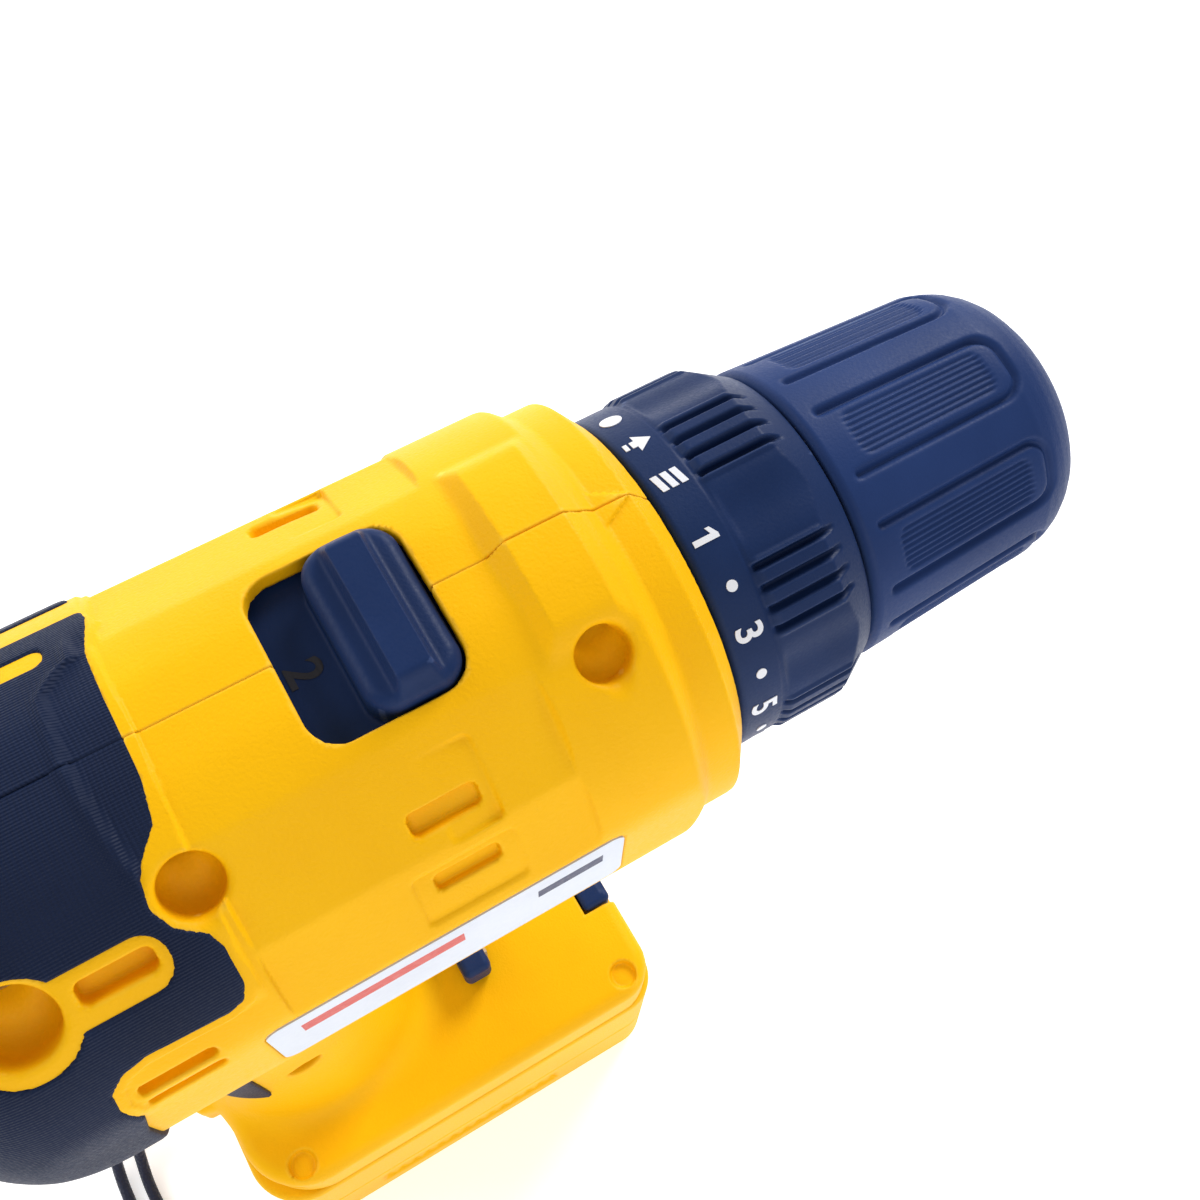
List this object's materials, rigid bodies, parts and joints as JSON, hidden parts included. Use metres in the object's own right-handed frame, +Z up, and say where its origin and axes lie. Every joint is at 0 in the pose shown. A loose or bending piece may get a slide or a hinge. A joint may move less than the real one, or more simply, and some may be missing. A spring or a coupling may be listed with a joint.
{
  "type": "cordless drill",
  "caption": "Cordless drill driver with keyless chuck, numbered torque collar, two-speed selector, rubber grip, trigger and slide-on battery foot.",
  "frame": {"origin": "middle of the object's footprint on the surface that the battery stands on, without the wrist strap", "axes": "+X towards the chuck along the drilling axis, +Y to the operator's left, +Z up"},
  "size_m": [0.1921, 0.0888, 0.211],
  "materials": {
    "yellow_plastic": "fine moulded grain",
    "grip_rubber": "fine scale texture",
    "navy_plastic": "satin moulded",
    "collar_plastic": "satin moulded with pale printed numbers",
    "chuck_plastic": "satin moulded",
    "label_film": "printed label film",
    "screw_steel": "zinc plated",
    "gear_steel": "sintered steel",
    "spring_steel": "drawn wire",
    "zinc_case": "die cast",
    "motor_steel": "plated can",
    "magnet": "sintered ferrite",
    "copper": "enamelled copper",
    "carbon": "carbon",
    "black_plastic": "moulded",
    "lens": "clear moulded lens",
    "cell_wrap": "shrink wrap",
    "nickel": "nickel plated",
    "strap_cord": "braided cord"
  },
  "bodies": {
    "housing": {"housing_right": "yellow_plastic", "housing_left": "yellow_plastic", "grip_rubber_right": "grip_rubber", "grip_rubber_left": "grip_rubber", "label_right": "label_film", "label_left": "label_film", "housing_screws": "screw_steel", "gearbox_case": "zinc_case", "gearbox_cover": "zinc_case", "fixed_ring_gear": "gear_steel", "spindle_bearings": "gear_steel", "clutch_washer": "gear_steel", "clutch_spring": "spring_steel", "collar_clip": "screw_steel", "motor_can": "motor_steel", "motor_magnets": "magnet", "motor_brushes": "carbon", "motor_end_cap": "black_plastic", "motor_bearings": "gear_steel", "switch_module": "black_plastic", "trigger_spring": "spring_steel", "light_housing": "navy_plastic", "light_lens": "lens", "terminal_block": "black_plastic", "wrist_strap": "strap_cord"},
    "selector": {"speed_selector": "navy_plastic"},
    "shift": {"shift_ring_gear": "gear_steel", "shift_fork": "spring_steel"},
    "rotor": {"motor_armature": "motor_steel", "motor_windings": "copper", "motor_commutator": "copper", "motor_shaft": "gear_steel", "motor_pinion": "gear_steel"},
    "carrier": {"first_carrier": "gear_steel"},
    "chuck": {"output_carrier": "gear_steel", "spindle": "gear_steel", "chuck_body": "gear_steel", "chuck_screw": "screw_steel", "chuck_rear_ring": "screw_steel"},
    "sleeve": {"chuck_sleeve": "chuck_plastic", "chuck_nut": "gear_steel"},
    "collar": {"torque_collar": "collar_plastic", "clutch_nut": "gear_steel"},
    "trigger": {"trigger": "navy_plastic"},
    "lever": {"direction_lever": "navy_plastic"},
    "battery": {"battery_upper": "yellow_plastic", "battery_lower": "yellow_plastic", "battery_cells": "cell_wrap", "battery_contacts": "nickel", "latch_springs": "spring_steel"},
    "latch": {"latch_button": "navy_plastic"},
    "planet_first_1": {"planet_first_1": "gear_steel"},
    "planet_second_1": {"planet_second_1": "gear_steel"},
    "jaw_1": {"chuck_jaw_1": "gear_steel"},
    "planet_first_2": {"planet_first_2": "gear_steel"},
    "planet_second_2": {"planet_second_2": "gear_steel"},
    "jaw_2": {"chuck_jaw_2": "gear_steel"},
    "planet_first_3": {"planet_first_3": "gear_steel"},
    "planet_second_3": {"planet_second_3": "gear_steel"},
    "jaw_3": {"chuck_jaw_3": "gear_steel"}
  },
  "joints": [
    {"name": "chuck_spin", "type": "hinge", "parent": "housing", "child": "chuck", "pos_m": [0.0215, 0, 0.178], "axis": [1, 0, 0], "continuous": true},
    {"name": "carrier_spin", "type": "hinge", "parent": "housing", "child": "carrier", "pos_m": [0.0215, 0, 0.178], "axis": [1, 0, 0], "continuous": true},
    {"name": "rotor_spin", "type": "hinge", "parent": "housing", "child": "rotor", "pos_m": [0.0215, 0, 0.178], "axis": [1, 0, 0], "continuous": true},
    {"name": "planet_first_1_spin", "type": "hinge", "parent": "carrier", "child": "planet_first_1", "pos_m": [0.0215, 0, 0.1885], "axis": [1, 0, 0], "continuous": true},
    {"name": "planet_second_1_spin", "type": "hinge", "parent": "chuck", "child": "planet_second_1", "pos_m": [0.0215, 0, 0.1885], "axis": [1, 0, 0], "continuous": true},
    {"name": "planet_first_2_spin", "type": "hinge", "parent": "carrier", "child": "planet_first_2", "pos_m": [0.0215, -0.00909, 0.17275], "axis": [1, 0, 0], "continuous": true},
    {"name": "planet_second_2_spin", "type": "hinge", "parent": "chuck", "child": "planet_second_2", "pos_m": [0.0215, -0.00909, 0.17275], "axis": [1, 0, 0], "continuous": true},
    {"name": "planet_first_3_spin", "type": "hinge", "parent": "carrier", "child": "planet_first_3", "pos_m": [0.0215, 0.00909, 0.17275], "axis": [1, 0, 0], "continuous": true},
    {"name": "planet_second_3_spin", "type": "hinge", "parent": "chuck", "child": "planet_second_3", "pos_m": [0.0215, 0.00909, 0.17275], "axis": [1, 0, 0], "continuous": true},
    {"name": "sleeve_turn", "type": "hinge", "parent": "chuck", "child": "sleeve", "pos_m": [0.0215, 0, 0.178], "axis": [1, 0, 0], "range_deg": [0, 3240]},
    {"name": "jaw_1_slide", "type": "slide", "parent": "chuck", "child": "jaw_1", "axis": [0.9613, 0, -0.2756], "range_m": [0, 0.0225]},
    {"name": "jaw_2_slide", "type": "slide", "parent": "chuck", "child": "jaw_2", "axis": [0.9613, 0.2387, 0.1378], "range_m": [0, 0.0225]},
    {"name": "jaw_3_slide", "type": "slide", "parent": "chuck", "child": "jaw_3", "axis": [0.9613, -0.2387, 0.1378], "range_m": [0, 0.0225]},
    {"name": "collar_turn", "type": "hinge", "parent": "housing", "child": "collar", "pos_m": [0.0215, 0, 0.178], "axis": [1, 0, 0], "range_deg": [-271, 38]},
    {"name": "selector_slide", "type": "slide", "parent": "housing", "child": "selector", "axis": [-1, 0, 0], "range_m": [0, 0.0065]},
    {"name": "shift_slide", "type": "slide", "parent": "housing", "child": "shift", "axis": [-1, 0, 0], "range_m": [0, 0.0029]},
    {"name": "trigger_pull", "type": "slide", "parent": "housing", "child": "trigger", "axis": [-1, 0, 0], "range_m": [0, 0.007], "stiffness_N_per_m": 600, "springref_m": -0.002, "deforming": ["trigger_spring"]},
    {"name": "lever_slide", "type": "slide", "parent": "housing", "child": "lever", "axis": [0, 1, 0], "range_m": [-0.003, 0.003]},
    {"name": "battery_slide", "type": "slide", "parent": "housing", "child": "battery", "axis": [1, 0, 0], "range_m": [0, 0.045]},
    {"name": "latch_press", "type": "slide", "parent": "battery", "child": "latch", "axis": [0, 0, -1], "range_m": [0, 0.003], "stiffness_N_per_m": 900, "springref_m": -0.001, "deforming": ["latch_springs"]}
  ],
  "couplings": [
    {"joint": "carrier_spin", "follows": "chuck_spin", "ratio": 6},
    {"joint": "rotor_spin", "follows": "chuck_spin", "ratio": 36},
    {"joint": "planet_first_1_spin", "follows": "chuck_spin", "ratio": -15},
    {"joint": "planet_second_1_spin", "follows": "chuck_spin", "ratio": -2.5},
    {"joint": "planet_first_2_spin", "follows": "chuck_spin", "ratio": -15},
    {"joint": "planet_second_2_spin", "follows": "chuck_spin", "ratio": -2.5},
    {"joint": "planet_first_3_spin", "follows": "chuck_spin", "ratio": -15},
    {"joint": "planet_second_3_spin", "follows": "chuck_spin", "ratio": -2.5},
    {"joint": "jaw_1_slide", "follows": "sleeve_turn", "m_per_rad": 0.00039771},
    {"joint": "jaw_2_slide", "follows": "sleeve_turn", "m_per_rad": 0.00039771},
    {"joint": "jaw_3_slide", "follows": "sleeve_turn", "m_per_rad": 0.00039771},
    {"joint": "shift_slide", "follows": "selector_slide", "ratio": 0.44}
  ]
}
